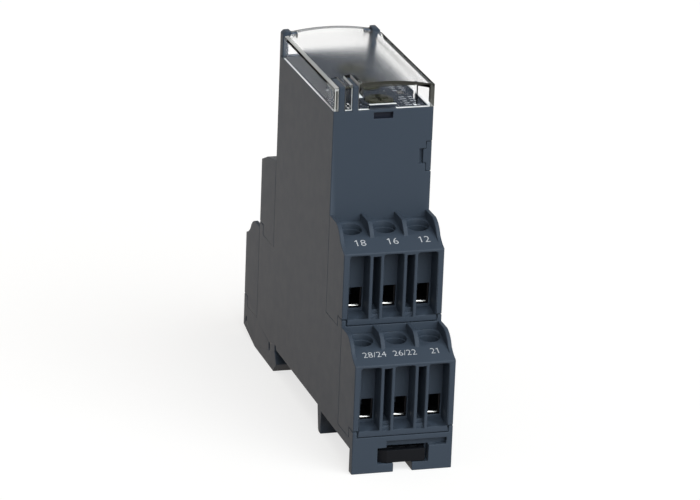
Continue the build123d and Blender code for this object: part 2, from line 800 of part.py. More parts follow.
# Light guide: a bar under the panel with three posts, over three lamps
with BuildPart() as light_guide:
    post_half = window_width / 2 - seat_gap
    span_box((window_x - post_half, window_x + post_half),
             (window_spots[0] - window_length / 2, window_spots[-1] + window_length / 2),
             (panel_floor - guide_bar, panel_floor))
    for window_y in window_spots:
        reach = window_length / 2 - seat_gap
        span_box((window_x - post_half, window_x + post_half), (window_y - reach, window_y + reach),
                 (front_board_top + led_height + led_gap, panel_top))
keep(light_guide.part, "light_guide")

with BuildPart() as status_lamps:
    for window_y in window_spots:
        span_box((window_x - led_width / 2, window_x + led_width / 2),
                 (window_y - led_length / 2, window_y + led_length / 2),
                 (front_board_top, front_board_top + led_height))
keep(status_lamps.part, "status_lamps")

# Front board on its ledges, under the dials
with BuildPart() as front_board:
    span_box((inner_left + seat_gap, inner_right - 2 * seat_gap),
             (-nose_inner + seat_gap, nose_inner - seat_gap), (front_board_height, front_board_top))
keep(front_board.part, "front_board")

# Main board along the left wall: wide at the base, narrow in the nose
board_outline = [
    (board_edge["lower"], board_floor),
    (board_edge["lower"], step_top - shell_wall - board_clearance),
    (board_edge["upper"], step_top - shell_wall - board_clearance),
    (board_edge["upper"], front_board_height),
]
with BuildPart() as main_board:
    extrude(outline(board_outline + [(-y, z) for y, z in reversed(board_outline)], board_back),
            amount=board_thickness)
keep(main_board.part, "main_board")

# Plug header that joins the two boards, with its row of pins
with BuildPart() as board_header:
    header = (board_face, board_face + header_width)
    span_box(header, (-header_length / 2, header_length / 2),
             (front_board_height - header_height, front_board_height))
keep(board_header.part, "board_header")

# Two sealed output relays lying across the nose
for k, name in enumerate(("relay_one", "relay_two")):
    floor = relay_base + k * (relay_width + relay_gap)
    with BuildPart() as relay:
        span_box((board_face, board_face + relay_height), (-relay_length / 2, relay_length / 2),
                 (floor, floor + relay_width))
        chamfer(relay.faces().sort_by(Axis.X)[-1].edges(), length=relay_bevel)
    keep(relay.part, name)

# Supply parts on the lower half of the main board
with BuildPart() as film_capacitor:
    span_box((board_face, board_face + film_height), (-film_length / 2, film_length / 2),
             (board_floor + film_width, board_floor + 2 * film_width))
    fillet(film_capacitor.edges().filter_by(Axis.X), radius=film_edge)
keep(film_capacitor.part, "film_capacitor")

with BuildPart() as smoothing_capacitor:
    with BuildSketch(Plane.YZ.offset(board_face)):
        with Locations((film_length / 2 + 2 * can_radius, board_floor + 2 * can_radius)):
            Circle(can_radius)
    extrude(amount=can_height)
    fillet(smoothing_capacitor.faces().sort_by(Axis.X)[-1].edges(), radius=can_edge)
keep(smoothing_capacitor.part, "smoothing_capacitor")

with BuildPart() as varistor:
    with BuildSketch(Plane.XY.offset(board_floor + (film_width - disc_thickness) / 2)):
        with Locations((board_face + disc_radius, 0)):
            Circle(disc_radius)
    extrude(amount=disc_thickness)
keep(varistor.part, "varistor")

with BuildPart() as filter_choke:
    with BuildSketch(Plane.YZ.offset(board_face)):
        with Locations((-film_length / 2 - 2 * choke_radius, board_floor + 2 * choke_radius)):
            Circle(choke_radius)
    extrude(amount=choke_height)
    with BuildSketch(Plane.YZ.offset(board_face + choke_flange)):
        with Locations((-film_length / 2 - 2 * choke_radius, board_floor + 2 * choke_radius)):
            Circle(choke_radius)
            Circle(choke_core_radius, mode=Mode.SUBTRACT)
    extrude(amount=choke_height - 2 * choke_flange, mode=Mode.SUBTRACT)
keep(filter_choke.part, "filter_choke")

with BuildPart() as controller_chip:
    chip_middle = (board_floor + 2 * film_width + relay_base) / 2
    span_box((board_face, board_face + chip_height), (-chip_size / 2, chip_size / 2),
             (chip_middle - chip_size / 2, chip_middle + chip_size / 2))
keep(controller_chip.part, "controller_chip")

# Black rail clip: handle in the foot's window, bar in its guides, hook under the rail's edge
handle_front = -base_half + clip_inset
handle_back = handle_front + clip_handle_length
with BuildPart() as rail_clip:
    bevel_x, bevel_y = clip_bevel
    handle = [(-clip_half, handle_front + bevel_y), (-clip_half + bevel_x, handle_front),
              (clip_half, handle_front), (clip_half, handle_back), (-clip_half, handle_back)]
    with BuildSketch(Plane.XY.offset(clip_floor)):
        with BuildLine():
            Polyline(*handle, close=True)
        make_face()
    extrude(amount=clip_top - clip_clearance - clip_floor)
    bar = [(handle_back, clip_bar_floor), (handle_back, clip_bar_top), (hook_end, clip_bar_top),
           (hook_end - clip_hook_slope, clip_bar_floor)]
    extrude(outline(bar, -clip_half), amount=2 * clip_half)
    # Moulded spring in a window of the bar
    window_end = handle_back + spring_window_wall
    span_box((-spring_window_half, spring_window_half), (window_end, window_end + spring_window_length),
             (clip_bar_floor, clip_bar_top), Mode.SUBTRACT)
    swing_step = (spring_window_length - 2 * spring_ends) / 2
    swings = [(spring_swing * side, window_end + spring_ends + (k * swing_step))
              for k, side in enumerate((1, -1, 1))]
    with BuildSketch(Plane.XY.offset(clip_bar_floor + clip_clearance)):
        with BuildLine():
            FilletPolyline((0, window_end), (0, window_end + spring_ends / 2), *swings,
                           (0, window_end + spring_window_length - spring_ends / 2),
                           (0, window_end + spring_window_length), radius=spring_bend)
        trace(line_width=spring_bar)
    extrude(amount=clip_bar_top - clip_bar_floor - 2 * clip_clearance)
    # Driver pockets in the top of the handle
    pocket_width, pocket_length = clip_pocket
    pocket_start = handle_front + clip_pocket_inset
    for k in (-1, 0, 1):
        pocket_x = clip_pocket_middle + k * clip_pocket_pitch
        span_box((pocket_x - pocket_width / 2, pocket_x + pocket_width / 2),
                 (pocket_start, pocket_start + pocket_length), (clip_bar_top, clip_top), Mode.SUBTRACT)
keep(rail_clip.part, "rail_clip")
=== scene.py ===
import math

import bmesh
import bpy
from mathutils import Matrix, Quaternion, Vector


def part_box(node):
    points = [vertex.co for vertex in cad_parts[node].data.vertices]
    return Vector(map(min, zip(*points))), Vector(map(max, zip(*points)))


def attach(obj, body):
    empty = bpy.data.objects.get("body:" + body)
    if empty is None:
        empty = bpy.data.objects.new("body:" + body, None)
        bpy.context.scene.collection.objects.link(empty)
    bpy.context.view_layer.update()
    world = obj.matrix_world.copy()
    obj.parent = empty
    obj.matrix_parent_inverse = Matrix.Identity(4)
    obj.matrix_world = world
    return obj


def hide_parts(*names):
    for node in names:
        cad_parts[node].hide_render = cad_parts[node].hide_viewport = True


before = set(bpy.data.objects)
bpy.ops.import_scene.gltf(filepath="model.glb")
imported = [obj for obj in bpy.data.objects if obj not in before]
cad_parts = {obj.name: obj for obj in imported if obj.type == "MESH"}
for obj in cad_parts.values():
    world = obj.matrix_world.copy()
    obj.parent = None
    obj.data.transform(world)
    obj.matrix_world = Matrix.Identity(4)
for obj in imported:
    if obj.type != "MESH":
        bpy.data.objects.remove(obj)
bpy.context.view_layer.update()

# The housing is one injection moulding in anthracite polyamide: left wall, nose, stepped base and feet.
# Its tool leaves every outer edge slightly round and gives the faces a fine matt grain.
MM = 0.001
moulded_edge = 0.18 * MM
edge_angle = math.radians(28)
merge_distance = 1e-6
plane_slack = 1e-5
flat_face_weight = 100
anthracite = (0.045, 0.062, 0.088)
flow_size = 14 * MM
sheen_size = 2.5 * MM
sheen_spread = 0.02
grain_size = 0.14 * MM
grain_depth = 0.02 * MM


def evaluated_mesh(draft):
    """The plain mesh that a draft object's curve or modifiers make. The draft is removed."""
    bpy.context.view_layer.update()
    mesh = bpy.data.meshes.new_from_object(draft.evaluated_get(bpy.context.evaluated_depsgraph_get()))
    bpy.data.objects.remove(draft)
    return mesh


def rounded_mesh(node, edge, steps=2, face_y=None, inner=1.0):
    """The mesh of a CAD node with its outward edges rounded, and its inward edges left sharp.

    Where face_y is given, the edges in the plane Y = face_y are rounded in full, and all others by the
    share inner.
    """
    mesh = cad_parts[node].data.copy()
    work = bmesh.new()
    work.from_mesh(mesh)
    bmesh.ops.remove_doubles(work, verts=work.verts, dist=merge_distance)
    weight = work.edges.layers.float.new("bevel_weight_edge")
    for face in work.faces:
        face.smooth = True
    for line in work.edges:
        if line.calc_face_angle(0) > edge_angle:
            in_face = face_y is None or all(abs(end.co.y - face_y) < plane_slack for end in line.verts)
            line[weight] = (1.0 if in_face else inner) if line.is_convex else 0.0
            line.smooth = line.is_convex
    work.to_mesh(mesh)
    work.free()
    draft = bpy.data.objects.new("draft", mesh)
    bpy.context.scene.collection.objects.link(draft)
    bevel = draft.modifiers.new("edge", "BEVEL")
    bevel.width = edge
    bevel.segments = steps
    bevel.limit_method = "WEIGHT"
    bevel.use_clamp_overlap = False
    bevel.loop_slide = False
    bevel.miter_outer = "MITER_ARC"
    weighted = draft.modifiers.new("normals", "WEIGHTED_NORMAL")
    weighted.weight = flat_face_weight
    weighted.keep_sharp = True
    ready = evaluated_mesh(draft)
    bpy.data.meshes.remove(mesh)
    return ready


def add_piece(name, mesh, body, slot, material, *nodes):
    """A piece of the relay that moves with a body, in place of the CAD nodes it names. The slot is not used.
    """
    mesh.name = name
    mesh.materials.clear()
    mesh.materials.append(material)
    piece = bpy.data.objects.new(name, mesh)
    bpy.context.scene.collection.objects.link(piece)
    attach(piece, body)
    if nodes:
        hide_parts(*nodes)
    return piece


def step(tree, kind, links=None, values=None, **settings):
    """One node of a tree, with its links, its fixed values and its settings."""
    node = tree.nodes.new(kind)
    for key, value in settings.items():
        setattr(node, key, value)
    for key, value in (values or {}).items():
        node.inputs[key].default_value = value
    for key, source in (links or {}).items():
        tree.links.new(source, node.inputs[key])
    return node


def shader_nodes(name):
    """A new material with its node tree, its main shader and the object coordinates."""
    material = bpy.data.materials.new(name)
    material.use_nodes = True
    tree = material.node_tree
    place = step(tree, "ShaderNodeTexCoord").outputs["Object"]
    return material, tree, tree.nodes["Principled BSDF"], place


def noise(tree, place, size, detail=2.0):
    """A noise whose lumps are about as large as size, in metres."""
    lumps = step(tree, "ShaderNodeTexNoise", {"Vector": place}, {"Scale": 1 / size, "Detail": detail})
    return lumps.outputs["Fac"]


def ranged(tree, value, low, high, start=0.3, end=0.7):
    """A value taken from start..end to low..high."""
    return step(tree, "ShaderNodeMapRange", {"Value": value},
                {"From Min": start, "From Max": end, "To Min": low, "To Max": high}).outputs["Result"]


def blended(tree, value, low, high):
    """A colour between two colours, by a value."""
    mix = step(tree, "ShaderNodeMix", {"Factor": value}, {6: (*low, 1), 7: (*high, 1)}, data_type="RGBA")
    return mix.outputs[2]


def grained(tree, shader, height, depth, strength):
    """A raised grain on the shader's normal."""
    bump = step(tree, "ShaderNodeBump", {"Height": height}, {"Strength": strength, "Distance": depth})
    tree.links.new(bump.outputs["Normal"], shader.inputs["Normal"])


def moulded_plastic(name, colour, rough=0.5, gloss=0.17, grain_strength=0.06, spread=0.03):
    """Injection moulded plastic: a fine matt grain, faint flow marks and slightly uneven sheen."""
    material, tree, shader, place = shader_nodes(name)
    pale = tuple(part * (1 + spread) for part in colour)
    deep = tuple(part * (1 - spread) for part in colour)
    flow = noise(tree, place, flow_size, detail=3.0)
    tree.links.new(blended(tree, flow, deep, pale), shader.inputs["Base Color"])
    sheen = noise(tree, place, sheen_size, detail=4.0)
    uneven = ranged(tree, sheen, rough - sheen_spread, rough + sheen_spread)
    tree.links.new(uneven, shader.inputs["Roughness"])
    if grain_strength:
        grained(tree, shader, noise(tree, place, grain_size), grain_depth, grain_strength)
    shader.inputs["Specular IOR Level"].default_value = gloss
    return material


def second_finish(piece, material, chosen):
    """Gives the faces of a piece that a test on their middle and normal chooses a second material."""
    piece.data.materials.append(material)
    for face in piece.data.polygons:
        if chosen(face.center, face.normal):
            face.material_index = 1


# The faces inside the latch slot take a near black copy of the plastic: painted shade for the deep slot.
latch_slot_half = 2.2 * MM
latch_slot_span = (72.3 * MM, 73.8 * MM)
latch_slot_depth = (-21.65 * MM, -18 * MM)
housing_plastic = moulded_plastic("anthracite_moulding", anthracite)
latch_slot_painted_shade = moulded_plastic("latch_slot_painted_shade_plastic", (0.012, 0.016, 0.028))
housing = add_piece("housing_moulding", rounded_mesh("housing", moulded_edge), "base", "anthracite_plastic",
                    housing_plastic, "housing")
second_finish(housing, latch_slot_painted_shade,
              lambda middle, side: abs(middle.x) < latch_slot_half
              and latch_slot_span[0] < middle.z < latch_slot_span[1]
              and latch_slot_depth[0] < middle.y < latch_slot_depth[1])

# The side plate closes the right side. It is a flat moulding of the same plastic, and a snap tongue over each
# end of the nose holds it.
plate_edge = 0.12 * MM
add_piece("side_plate", rounded_mesh("side_cover", plate_edge), "base", "anthracite_plastic", housing_plastic,
          "side_cover")

# Four terminal blocks of the same plastic stand in the steps, two at each end. Each has three screw wells
# between raised fins, three wire entries below them, and a pad printed number on the slope before each well.
block_edge = 0.22 * MM
recess_edge_share = 0.55
block_rim = 4.95 * MM
slope_rise = 2.0
slope_run = 4.7
slope_angle = math.atan2(slope_rise, slope_run)
well_pitch = 7.6 * MM
label_setback = 3.05 * MM
label_size = {"upper": 2.75 * MM, "lower": 2.35 * MM}
label_shift = {"upper": (0.75 * MM, 0.4 * MM, -0.12 * MM), "lower": (1.45 * MM, 0.6 * MM, -0.15 * MM)}
stroke_trim = 0.026 * MM
curve_steps = 4
figure_step = 0.5
slash_step = 0.28
flag_of_one = [(-0.04, 0.36), (-0.165, 0.275), (-0.165, 0.19), (-0.04, 0.265)]
ink_lift = 0.01 * MM
ink_patch = 0.3 * MM
thin_ink = 0.86
ink_rough = 0.6
block_plastic = moulded_plastic("block_moulding", anthracite)
block_numbers = {
    "front_upper": ("18", "16", "12"),
    "front_lower": ("28/24", "26/22", "21"),
    "rear_upper": ("15", "17", "19"),
    "rear_lower": ("25/23", "27/29", "20"),
}


def print_ink(name, colour):
    """Pad printed ink: an even matt film that covers a little less in places."""
    material, tree, shader, place = shader_nodes(name)
    thin = tuple(part * thin_ink for part in colour)
    tree.links.new(blended(tree, noise(tree, place, ink_patch), thin, colour), shader.inputs["Base Color"])
    shader.inputs["Roughness"].default_value = ink_rough
    return material


def joined(meshes):
    """One mesh from several."""
    work = bmesh.new()
    for mesh in meshes:
        work.from_mesh(mesh)
        bpy.data.meshes.remove(mesh)
    whole = bpy.data.meshes.new("joined")
    work.to_mesh(whole)
    work.free()
    return whole


def flat_patch(corners):
    """One flat face through the corners."""
    mesh = bpy.data.meshes.new("patch")
    mesh.from_pydata(corners, [], [tuple(range(len(corners)))])
    return mesh


def printed_number(words, size):
    """A flat mesh of plain figures, centred on the origin and facing +Z, with a flag on each 1."""
    curve = bpy.data.curves.new("print", "FONT")
    curve.body = words
    curve.size = size
    curve.offset = -stroke_trim
    curve.align_x = "CENTER"
    curve.align_y = "CENTER"
    curve.resolution_u = curve_steps
    draft = bpy.data.objects.new("print", curve)
    bpy.context.scene.collection.objects.link(draft)
    figures = [evaluated_mesh(draft)]
    bpy.data.curves.remove(curve)
    steps = [slash_step if letter == "/" else figure_step for letter in words]
    for index, letter in enumerate(words):
        if letter == "1":
            middle = sum(steps[:index]) + steps[index] / 2 - sum(steps) / 2
            figures.append(flat_patch([((middle + x) * size, y * size, 0) for x, y in flag_of_one]))
    return joined(figures)


white_ink = print_ink("white_print", (0.56, 0.59, 0.63))
for spot, numbers in block_numbers.items():
    block = f"terminal_block_{spot}"
    tier = spot.split("_")[1]
    end = -1 if spot.startswith("front") else 1
    low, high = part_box(block)
    face = low.y if end < 0 else high.y
    block_mesh = rounded_mesh(block, block_edge, face_y=face, inner=recess_edge_share)
    add_piece(f"{block}_moulding", block_mesh, "base", "anthracite_plastic", block_plastic, block)
    slope = Matrix.Rotation(slope_angle, 4, "X")
    if end > 0:
        slope = Matrix.Rotation(math.pi, 4, "Z") @ slope
    labels = []
    for place, shift, number in zip((-well_pitch, 0.0, well_pitch), label_shift[tier], numbers):
        label = printed_number(number, label_size[tier])
        middle = Vector((-end * (place + shift), face - end * label_setback,
                         high.z - block_rim + label_setback * math.tan(slope_angle)))
        label.transform(Matrix.Translation(middle) @ slope @ Matrix.Translation((0, 0, ink_lift)))
        labels.append(label)
    add_piece(f"numbers_{spot}", joined(labels), "base", "anthracite_plastic", white_ink)

# Twelve captive clamp screws stand in the wells: cold headed steel with a slot and a cross in the head and a
# rolled thread, zinc plated. Each turns in its own clamp.
screw_head_radius = 2.15 * MM
screw_head_height = 1.6 * MM
screw_head_edge = 0.1 * MM
screw_core_radius = 1.18 * MM
screw_thread_radius = 1.48 * MM
screw_thread_pitch = 0.7 * MM
driver_slot = 0.8 * MM
driver_cross = 3.0 * MM
driver_depth = 0.9 * MM
slot_overrun = 2.2
recess_angle = 0.7
head_sides = 40
core_sides = 28
thread_steps = 24
thread_sides = 4
mottle_size = 0.8 * MM
mottle_spread = 0.08
dull_share = 0.82
rolling_size = 0.1 * MM
rolling_depth = 0.01 * MM
rolling_strength = 0.15


def plated_steel(name, colour, rough):
    """Plated steel: a mottled sheen and fine rolling lines."""
    material, tree, shader, place = shader_nodes(name)
    mottle = noise(tree, place, mottle_size, detail=4.0)
    dull = tuple(part * dull_share for part in colour)
    tree.links.new(blended(tree, mottle, dull, colour), shader.inputs["Base Color"])
    sheen = ranged(tree, mottle, rough - mottle_spread, rough + mottle_spread)
    tree.links.new(sheen, shader.inputs["Roughness"])
    grained(tree, shader, noise(tree, place, rolling_size, detail=3.0), rolling_depth, rolling_strength)
    shader.inputs["Metallic"].default_value = 1
    return material


def tree_with(name, sizes):
    """A Geometry Nodes tree with one named input for each size, and its input and output nodes."""
    tree = bpy.data.node_groups.new(name, "GeometryNodeTree")
    tree.interface.new_socket("Geometry", in_out="OUTPUT", socket_type="NodeSocketGeometry")
    for size, kind in sizes.items():
        tree.interface.new_socket(size, in_out="INPUT", socket_type=f"NodeSocket{kind}")
    return tree, tree.nodes.new("NodeGroupInput").outputs, tree.nodes.new("NodeGroupOutput").inputs[0]


def figured(tree, operation, first, second):
    """The result of a sum on two values; either may be a plain number."""
    node = step(tree, "ShaderNodeMath", operation=operation)
    for socket, part in zip(node.inputs, (first, second)):
        if isinstance(part, (int, float)):
            socket.default_value = part
        else:
            tree.links.new(part, socket)
    return node.outputs[0]


def vector_of(tree, x=None, y=None, z=None):
    """A vector whose parts come from sizes."""
    links = {key: part for key, part in zip("XYZ", (x, y, z)) if part is not None}
    return step(tree, "ShaderNodeCombineXYZ", links).outputs[0]


def moved(tree, geometry, offset):
    """The geometry moved by a vector."""
    return step(tree, "GeometryNodeTransform", {"Geometry": geometry, "Translation": offset}).outputs[0]


def finished_with(tree, geometry, material, output):
    """Ends a tree: its instances made real, and its material set."""
    real = step(tree, "GeometryNodeRealizeInstances", {"Geometry": geometry})
    finished = step(tree, "GeometryNodeSetMaterial", {"Geometry": real.outputs[0], "Material": material})
    tree.links.new(finished.outputs[0], output)


def made_by(tree, values, edge=0.0):
    """The plain mesh that a tree makes from its sizes, with its marked edges rounded."""
    draft = bpy.data.objects.new("draft", bpy.data.meshes.new("draft"))
    bpy.context.scene.collection.objects.link(draft)
    maker = draft.modifiers.new("maker", "NODES")
    maker.node_group = tree
    sockets = {item.name: item.identifier for item in tree.interface.items_tree if item.in_out == "INPUT"}
    for size, value in values.items():
        maker[sockets[size]] = value
    if edge:
        bevel = draft.modifiers.new("edge", "BEVEL")
        bevel.width = edge
        bevel.segments = 2
        bevel.limit_method = "WEIGHT"
    return evaluated_mesh(draft)


screw_tree, screw_size, screw_out = tree_with("clamp_screw", {
    "Place": "Vector", "Head radius": "Float", "Head height": "Float", "Length": "Float",
    "Core radius": "Float", "Thread radius": "Float", "Thread pitch": "Float",
    "Slot": "Float", "Cross": "Float", "Depth": "Float", "Finish": "Material"})

# Head, cut by the slot and by the cross
head = step(screw_tree, "GeometryNodeMeshCylinder",
            {"Radius": screw_size["Head radius"], "Depth": screw_size["Head height"]},
            {"Vertices": head_sides})
half_head_down = figured(screw_tree, "MULTIPLY", screw_size["Head height"], -0.5)
recess = step(screw_tree, "GeometryNodeMeshBoolean",
              {"Mesh 1": moved(screw_tree, head.outputs["Mesh"], vector_of(screw_tree, z=half_head_down))},
              operation="DIFFERENCE")
twice_deep = figured(screw_tree, "MULTIPLY", screw_size["Depth"], 2.0)
past_head = figured(screw_tree, "MULTIPLY", screw_size["Head radius"], slot_overrun)
for across, along in ((past_head, screw_size["Slot"]), (screw_size["Slot"], screw_size["Cross"])):
    cutter = step(screw_tree, "GeometryNodeMeshCube",
                  {"Size": vector_of(screw_tree, across, along, twice_deep)})
    screw_tree.links.new(cutter.outputs["Mesh"], recess.inputs["Mesh 2"])
angle = step(screw_tree, "GeometryNodeInputMeshEdgeAngle")
sharp = step(screw_tree, "FunctionNodeCompare", {0: angle.outputs["Unsigned Angle"]}, {1: recess_angle},
             operation="GREATER_THAN")
marked = step(screw_tree, "GeometryNodeStoreNamedAttribute",
              {"Geometry": recess.outputs["Mesh"], "Selection": sharp.outputs[0]},
              {"Name": "bevel_weight_edge", "Value": 1.0}, domain="EDGE", data_type="FLOAT")

# Core below the head, and the thread round it
under_head = figured(screw_tree, "SUBTRACT", screw_size["Length"], screw_size["Head height"])
core = step(screw_tree, "GeometryNodeMeshCylinder",
            {"Radius": screw_size["Core radius"], "Depth": under_head}, {"Vertices": core_sides})
core_down = figured(screw_tree, "SUBTRACT", figured(screw_tree, "MULTIPLY", under_head, -0.5),
                    screw_size["Head height"])
thread_depth = figured(screw_tree, "SUBTRACT", screw_size["Thread radius"], screw_size["Core radius"])
thread_run = figured(screw_tree, "SUBTRACT", under_head, screw_size["Thread pitch"])
helix = step(screw_tree, "GeometryNodeCurveSpiral",
             {"Rotations": figured(screw_tree, "DIVIDE", thread_run, screw_size["Thread pitch"]),
              "Start Radius": screw_size["Core radius"], "End Radius": screw_size["Core radius"],
              "Height": thread_run},
             {"Resolution": thread_steps})
ridge = step(screw_tree, "GeometryNodeCurvePrimitiveCircle", {"Radius": thread_depth},
             {"Resolution": thread_sides})
thread = step(screw_tree, "GeometryNodeCurveToMesh",
              {"Curve": helix.outputs["Curve"], "Profile Curve": ridge.outputs["Curve"]}, {"Fill Caps": True})
thread_down = figured(screw_tree, "SUBTRACT", figured(screw_tree, "MULTIPLY", screw_size["Length"], -1.0),
                      figured(screw_tree, "MULTIPLY", screw_size["Thread pitch"], -0.5))
whole = step(screw_tree, "GeometryNodeJoinGeometry")
for part in (moved(screw_tree, thread.outputs["Mesh"], vector_of(screw_tree, z=thread_down)),
             moved(screw_tree, core.outputs["Mesh"], vector_of(screw_tree, z=core_down)),
             marked.outputs["Geometry"]):
    screw_tree.links.new(part, whole.inputs["Geometry"])
finished_with(screw_tree, moved(screw_tree, whole.outputs["Geometry"], screw_size["Place"]),
              screw_size["Finish"], screw_out)

zinc = plated_steel("zinc_plating", (0.78, 0.78, 0.76), 0.26)
for spot in block_numbers:
    for number in (1, 2, 3):
        node = f"screw_{spot}_{number}"
        low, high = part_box(node)
        middle = (low + high) / 2
        screw_mesh = made_by(screw_tree, {
            "Place": (middle.x, middle.y, high.z), "Head radius": screw_head_radius,
            "Head height": screw_head_height, "Length": high.z - low.z, "Core radius": screw_core_radius,
            "Thread radius": screw_thread_radius, "Thread pitch": screw_thread_pitch, "Slot": driver_slot,
            "Cross": driver_cross, "Depth": driver_depth, "Finish": zinc}, screw_head_edge)
        add_piece(f"{node}_steel", screw_mesh, node, "plated_steel", zinc, node)

# Twelve rising clamps hang on the screws: cages bent from zinc plated steel strip, coloured near black as
# painted shade inside the wire holes. Each has a lip that leads the wire in, and its bright end shows at the
# bottom of the wire hole.
cage_edge = 0.1 * MM
lip_depth = 0.24 * MM
lip_facing = 0.8
# The cages are coloured near black as painted shade for the dark wire holes; their lips keep the zinc.
cage_painted_shade = plated_steel("cage_painted_shade_steel", (0.022, 0.022, 0.024), 0.55)
for spot in block_numbers:
    end = -1 if spot.startswith("front") else 1
    for number in (1, 2, 3):
        node = f"clamp_{spot}_{number}"
        low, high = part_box(node)
        mouth = max(end * low.y, end * high.y) - lip_depth
        cage = add_piece(f"{node}_steel", rounded_mesh(node, cage_edge, steps=1), node, "plated_steel",
                         cage_painted_shade, node)
        second_finish(cage, zinc, lambda middle, side: end * middle.y > mouth and end * side.y > lip_facing)

# The sealed inner parts keep their own shapes: strips of tinned brass run from the clamps to the main board,
# and the boards carry the relays and the small parts. Each gets the finish of its real material.


def give(node, material):
    """A CAD node keeps its shape and takes a new material."""
    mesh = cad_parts[node].data
    mesh.materials.clear()
    mesh.materials.append(material)


strip_metal = plated_steel("tinned_strip", (0.66, 0.6, 0.5), 0.35)
for spot in block_numbers:
    give(f"contact_strips_{spot}", strip_metal)
inner_finishes = [
    ("solder_resist", (0.02, 0.11, 0.045), 0.3, 0.5, ("main_board", "front_board")),
    ("switch_case", (0.03, 0.03, 0.032), 0.5, 0.17,
     ("time_potentiometer", "range_switch", "mode_switch", "board_header", "controller_chip")),
    ("relay_case", (0.7, 0.68, 0.6), 0.35, 0.5, ("relay_one", "relay_two")),
    ("film_case", (0.7, 0.45, 0.05), 0.35, 0.5, ("film_capacitor",)),
    ("can_sleeve", (0.02, 0.022, 0.05), 0.3, 0.5, ("smoothing_capacitor",)),
    ("disc_coating", (0.04, 0.12, 0.4), 0.4, 0.5, ("varistor",)),
    ("ferrite", (0.04, 0.038, 0.036), 0.7, 0.3, ("filter_choke",)),
    ("lamp_resin", (0.7, 0.75, 0.6), 0.2, 0.5, ("status_lamps",)),
]
for name, colour, rough, gloss, nodes in inner_finishes:
    finish = moulded_plastic(name, colour, rough, gloss)
    for node in nodes:
        give(node, finish)

# The front panel lies under the cover, on ledges of the housing: a dark moulding with a raised ring round
# each dial. It is screen printed with a scale of ticks round each ring and rows of short bars beside it.
panel_edge = 0.08 * MM
ring_height = 0.3 * MM
scale_radius = 4.75 * MM
scale_sweep = math.radians(270)
scale_start = math.radians(-45)
scale_ticks = 11
tick_length = 0.42 * MM
tick_width = 0.13 * MM
dial_count = 3
dial_pitch = 10.6 * MM
bar_rows = (-3.4 * MM, -2.0 * MM, -0.6 * MM, 0.9 * MM, 2.3 * MM)
bar_columns = (6.5 * MM, 8.45 * MM)
bar_longest = 1.5 * MM
bar_shorter_by = 0.35 * MM
bar_lengths = 3
bar_thickness = 0.3 * MM
panel_plastic = moulded_plastic("panel_moulding", (0.028, 0.034, 0.046), 0.6, 0.04, grain_strength=0)
add_piece("front_panel_moulding", rounded_mesh("front_panel", panel_edge), "base", "panel_plastic",
          panel_plastic, "front_panel")

scale_tree, scale_size, scale_out = tree_with("dial_scales", {
    "First dial": "Vector", "Dials": "Int", "Dial pitch": "Vector", "Radius": "Float", "Sweep": "Float",
    "Start": "Float", "Ticks": "Int", "Tick length": "Float", "Tick width": "Float", "Ink": "Material"})
arc = step(scale_tree, "GeometryNodeCurveArc",
           {"Resolution": scale_size["Ticks"], "Radius": scale_size["Radius"],
            "Start Angle": scale_size["Start"], "Sweep Angle": scale_size["Sweep"]})
tick = step(scale_tree, "GeometryNodeMeshGrid",
            {"Size X": scale_size["Tick length"], "Size Y": scale_size["Tick width"]},
            {"Vertices X": 2, "Vertices Y": 2})
spoke = step(scale_tree, "FunctionNodeAlignRotationToVector",
             {"Vector": step(scale_tree, "GeometryNodeInputPosition").outputs[0]}, axis="X")
ring_of_ticks = step(scale_tree, "GeometryNodeInstanceOnPoints",
                     {"Points": arc.outputs["Curve"], "Instance": tick.outputs["Mesh"],
                      "Rotation": spoke.outputs["Rotation"]})
dial_row = step(scale_tree, "GeometryNodeMeshLine",
                {"Count": scale_size["Dials"], "Start Location": scale_size["First dial"],
                 "Offset": scale_size["Dial pitch"]})
scales = step(scale_tree, "GeometryNodeInstanceOnPoints",
              {"Points": dial_row.outputs["Mesh"], "Instance": ring_of_ticks.outputs["Instances"]})
finished_with(scale_tree, scales.outputs["Instances"], scale_size["Ink"], scale_out)


def printed_bar(x, y, z, width, length):
    """A flat printed bar on the panel, about its middle."""
    turns = ((-1, -1), (1, -1), (1, 1), (-1, 1))
    return flat_patch([(x + i * width / 2, y + j * length / 2, z) for i, j in turns])


dial_low, dial_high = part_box("time_dial")
dial_middle = (dial_low + dial_high) / 2
panel_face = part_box("front_panel")[1].z - ring_height + ink_lift
prints = [made_by(scale_tree, {
    "First dial": (dial_middle.x, dial_middle.y, panel_face), "Dials": dial_count,
    "Dial pitch": (0, dial_pitch, 0), "Radius": scale_radius, "Sweep": scale_sweep, "Start": scale_start,
    "Ticks": scale_ticks, "Tick length": tick_length, "Tick width": tick_width, "Ink": white_ink})]
for dial in range(dial_count):
    for row, row_shift in enumerate(bar_rows):
        for column, bar_x in enumerate(bar_columns):
            bar_width = bar_longest - bar_shorter_by * ((row + column + dial) % bar_lengths)
            prints.append(printed_bar(bar_x, dial_middle.y + dial * dial_pitch + row_shift, panel_face,
                                      bar_width, bar_thickness))
add_piece("panel_print", joined(prints), "base", "panel_plastic", white_ink)

# Three dials turn in the panel's rings, on the shafts that work the parts below. Each is moulded in dark
# acetal with a crossed slot for a screwdriver, one arm of it longer as the pointer.
dial_edge = 0.1 * MM
dial_plastic = moulded_plastic("dial_moulding", (0.024, 0.025, 0.015), 0.45, 0.06, grain_strength=0)
for name in ("time_dial", "range_dial", "mode_dial"):
    add_piece(f"{name}_moulding", rounded_mesh(name, dial_edge), name, "dial_plastic", dial_plastic, name)

# The light guide is a bar of clear polycarbonate under the panel. Its three posts stand in the panel's
# windows beside the dials, over the three lamps. The CAD node keeps its shape.
clear_tint = (0.98, 0.99, 0.99, 1)
clear_ior = 1.58
guide_rough = 0.1


